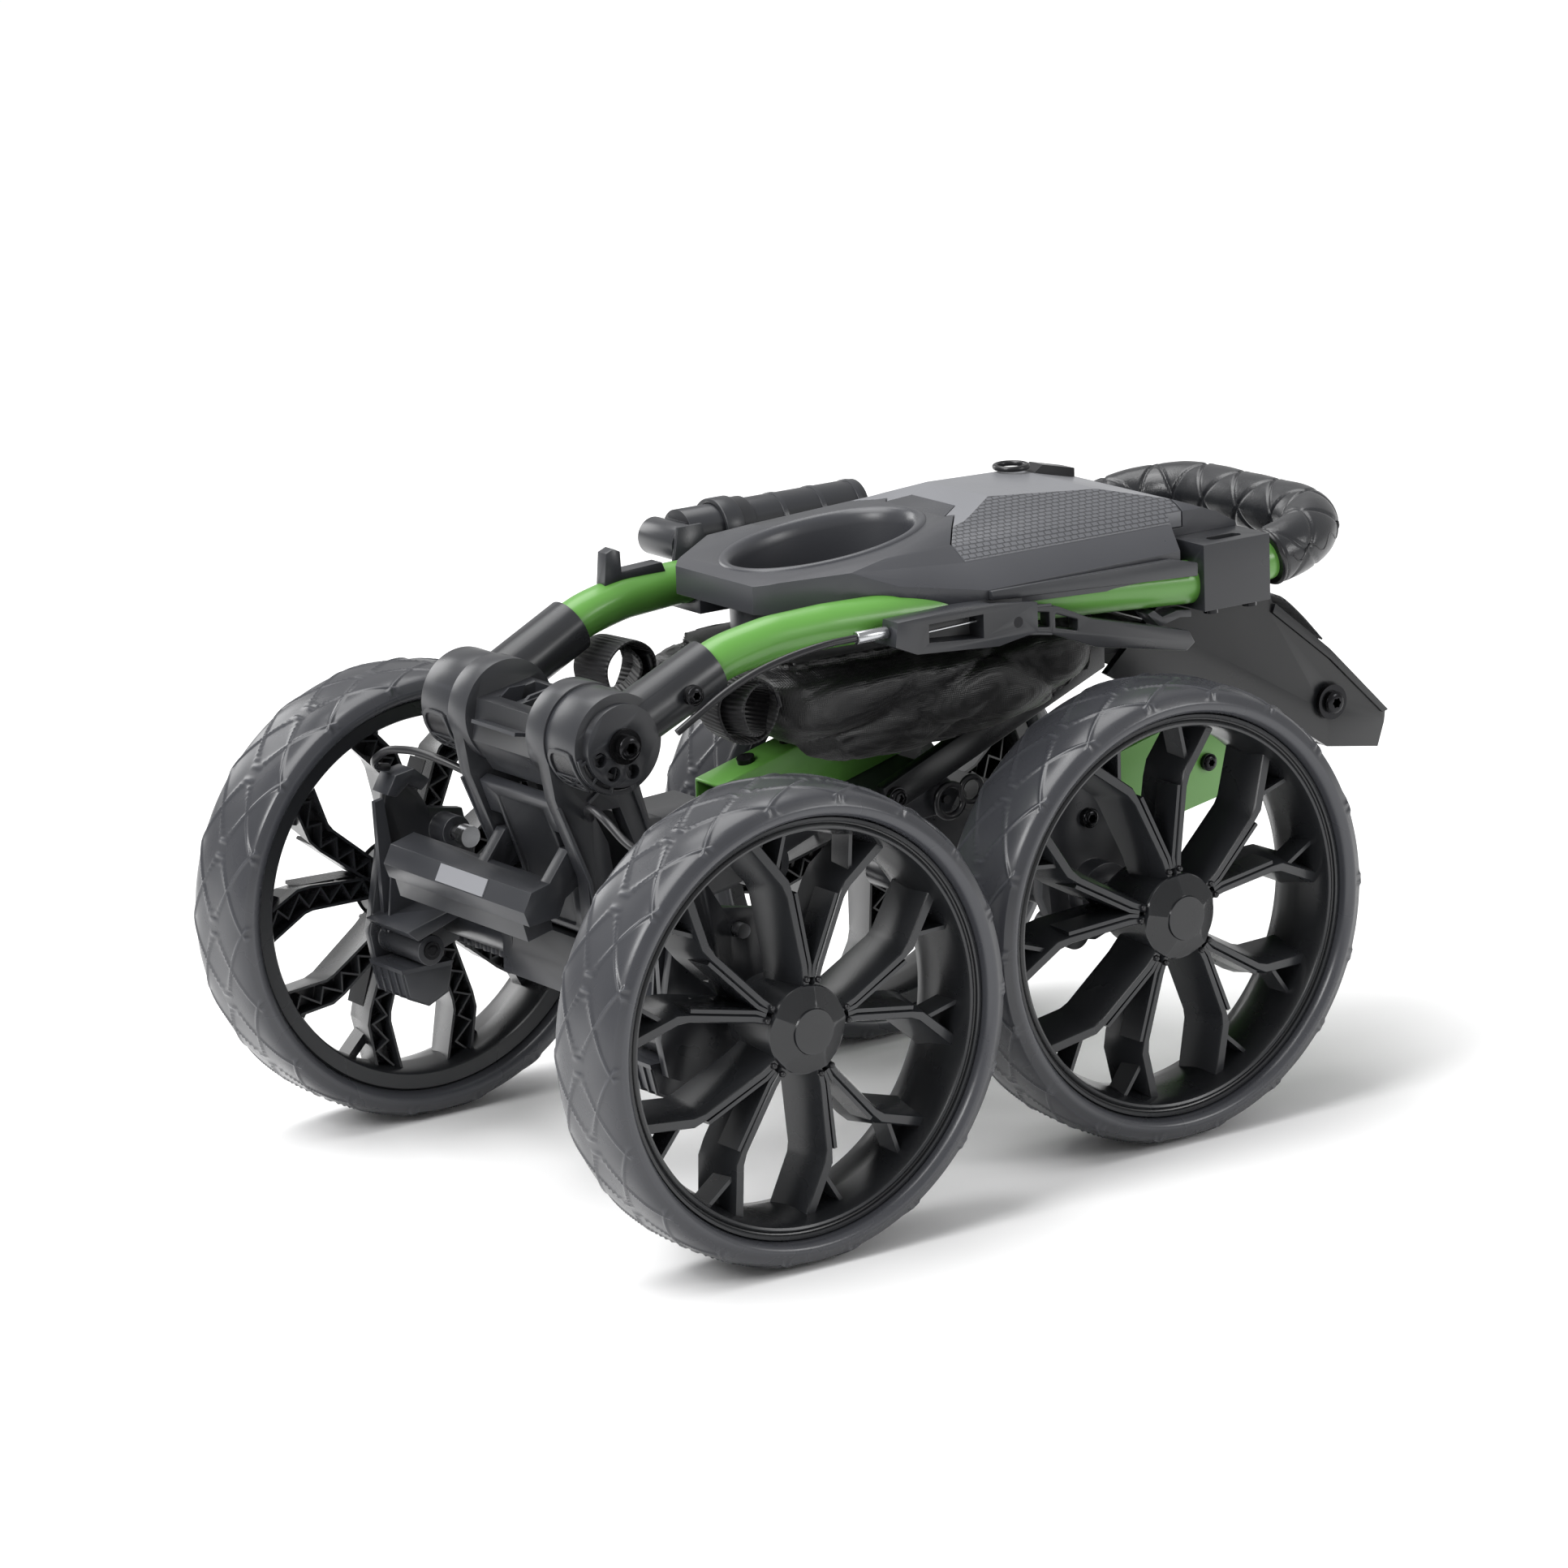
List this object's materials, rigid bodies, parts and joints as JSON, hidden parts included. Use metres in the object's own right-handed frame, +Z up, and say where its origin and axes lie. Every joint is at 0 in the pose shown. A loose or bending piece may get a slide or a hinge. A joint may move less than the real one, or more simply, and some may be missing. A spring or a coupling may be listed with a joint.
{
  "type": "golf trolley",
  "caption": "Folded four-wheel golf trolley: spoked wheels, fold-over tubular handle with console, grip loop, brake lever, umbrella holder and bag, folding front fork.",
  "frame": {"origin": "middle of the footprint, on the floor", "axes": "+X from the rear axle to the front axle, +Y to the trolley's left, +Z up"},
  "size_m": [0.641, 0.4154, 0.3428],
  "materials": {
    "charcoal_plastic": "moulded nylon, fine texture",
    "tyre_foam": "satin foam rubber",
    "wheel_plastic": "semi-gloss moulding",
    "green_paint": "satin powder coat",
    "black_paint": "satin powder coat",
    "steel": "zinc plated",
    "black_steel": "black oxide",
    "lid_plastic": "light grey moulding",
    "console_plastic": "mid grey moulding",
    "leatherette": "stitched diamond quilting",
    "bag_fabric": "woven nylon",
    "webbing": "ribbed webbing",
    "mesh": "open mesh",
    "cable_jacket": "smooth vinyl"
  },
  "bodies": {
    "chassis": {"rear_casting": "charcoal_plastic", "casting_cover": "charcoal_plastic", "rear_axle_tube": "charcoal_plastic", "rear_axle_rod": "steel", "brake_bracket_left": "charcoal_plastic", "brake_bracket_right": "charcoal_plastic", "brake_shoe_left": "charcoal_plastic", "brake_shoe_right": "charcoal_plastic", "main_beam": "green_paint", "beam_box": "black_paint", "beam_struts": "black_paint", "strut_bracket": "charcoal_plastic", "strap_hook": "cable_jacket", "beam_fasteners": "black_steel", "pivot_pins": "black_steel", "brake_cables": "cable_jacket", "rear_foot": "charcoal_plastic", "front_net": "mesh"},
    "pedal": {"release_pedal": "charcoal_plastic"},
    "brake_pin_l": {"brake_pin_left": "steel"},
    "brake_pin_r": {"brake_pin_right": "steel"},
    "handle": {"socket_hub_left": "charcoal_plastic", "socket_hub_right": "charcoal_plastic", "handle_tube": "green_paint", "grip": "leatherette", "console_tray": "console_plastic", "cup_bowl": "console_plastic", "console_skirts": "charcoal_plastic", "clamp_boxes": "charcoal_plastic", "lever_housing": "charcoal_plastic", "handle_fasteners": "black_steel", "lever_cable": "cable_jacket", "cable_ferrule": "steel", "accessory_bag": "bag_fabric", "bag_straps": "webbing", "umbrella_base": "charcoal_plastic", "tube_clips": "charcoal_plastic"},
    "lid": {"console_lid": "lid_plastic", "cord_clip": "cable_jacket"},
    "lever": {"brake_lever": "charcoal_plastic"},
    "umbrella": {"umbrella_holder": "charcoal_plastic", "umbrella_collar": "charcoal_plastic"},
    "fork": {"fork_arm": "green_paint", "fork_hinge": "charcoal_plastic", "fork_carrier": "charcoal_plastic", "fork_fasteners": "black_steel", "front_axle_rod": "steel"},
    "wheel_rear_right": {"tyre_rear_right": "tyre_foam", "rim_rear_right": "wheel_plastic", "cap_rear_right": "wheel_plastic"},
    "wheel_rear_left": {"tyre_rear_left": "tyre_foam", "rim_rear_left": "wheel_plastic", "cap_rear_left": "wheel_plastic"},
    "wheel_front_right": {"tyre_front_right": "tyre_foam", "rim_front_right": "wheel_plastic", "cap_front_right": "wheel_plastic"},
    "wheel_front_left": {"tyre_front_left": "tyre_foam", "rim_front_left": "wheel_plastic", "cap_front_left": "wheel_plastic"}
  },
  "joints": [
    {"name": "handle_fold", "type": "hinge", "parent": "chassis", "child": "handle", "pos_m": [-0.2185, 0, 0.258], "axis": [0, -1, 0], "range_deg": [0, 125]},
    {"name": "fork_fold", "type": "hinge", "parent": "chassis", "child": "fork", "pos_m": [0.2795, 0, 0.195], "axis": [0, -1, 0], "range_deg": [0, 130]},
    {"name": "pedal_press", "type": "hinge", "parent": "chassis", "child": "pedal", "pos_m": [-0.2185, 0, 0.187], "axis": [0, -1, 0], "range_deg": [0, 10], "stiffness_Nm_per_rad": 0.4, "springref_deg": -28.65},
    {"name": "lid_hinge", "type": "hinge", "parent": "handle", "child": "lid", "pos_m": [0.1625, 0, 0.329], "axis": [0, 1, 0], "range_deg": [0, 100]},
    {"name": "lever_pull", "type": "hinge", "parent": "handle", "child": "lever", "pos_m": [0.0185, -0.097, 0.291], "axis": [0, 1, 0], "range_deg": [0, 32]},
    {"name": "umbrella_tilt", "type": "hinge", "parent": "handle", "child": "umbrella", "pos_m": [-0.0605, 0.11, 0.315], "axis": [0, -1, 0], "range_deg": [0, 90]},
    {"name": "pin_slide_left", "type": "slide", "parent": "chassis", "child": "brake_pin_l", "axis": [0, 1, 0], "range_m": [0, 0.006]},
    {"name": "pin_slide_right", "type": "slide", "parent": "chassis", "child": "brake_pin_r", "axis": [0, -1, 0], "range_m": [0, 0.006]},
    {"name": "spin_rear_right", "type": "hinge", "parent": "chassis", "child": "wheel_rear_right", "pos_m": [-0.1935, -0.179, 0.127], "axis": [0, 1, 0], "continuous": true},
    {"name": "spin_rear_left", "type": "hinge", "parent": "chassis", "child": "wheel_rear_left", "pos_m": [-0.1935, 0.179, 0.127], "axis": [0, 1, 0], "continuous": true},
    {"name": "spin_front_right", "type": "hinge", "parent": "fork", "child": "wheel_front_right", "pos_m": [0.0845, -0.134, 0.127], "axis": [0, 1, 0], "continuous": true},
    {"name": "spin_front_left", "type": "hinge", "parent": "fork", "child": "wheel_front_left", "pos_m": [0.0845, 0.134, 0.127], "axis": [0, 1, 0], "continuous": true}
  ],
  "couplings": [
    {"joint": "pin_slide_left", "follows": "lever_pull", "m_per_rad": 0.010732},
    {"joint": "pin_slide_right", "follows": "lever_pull", "m_per_rad": 0.010732}
  ]
}
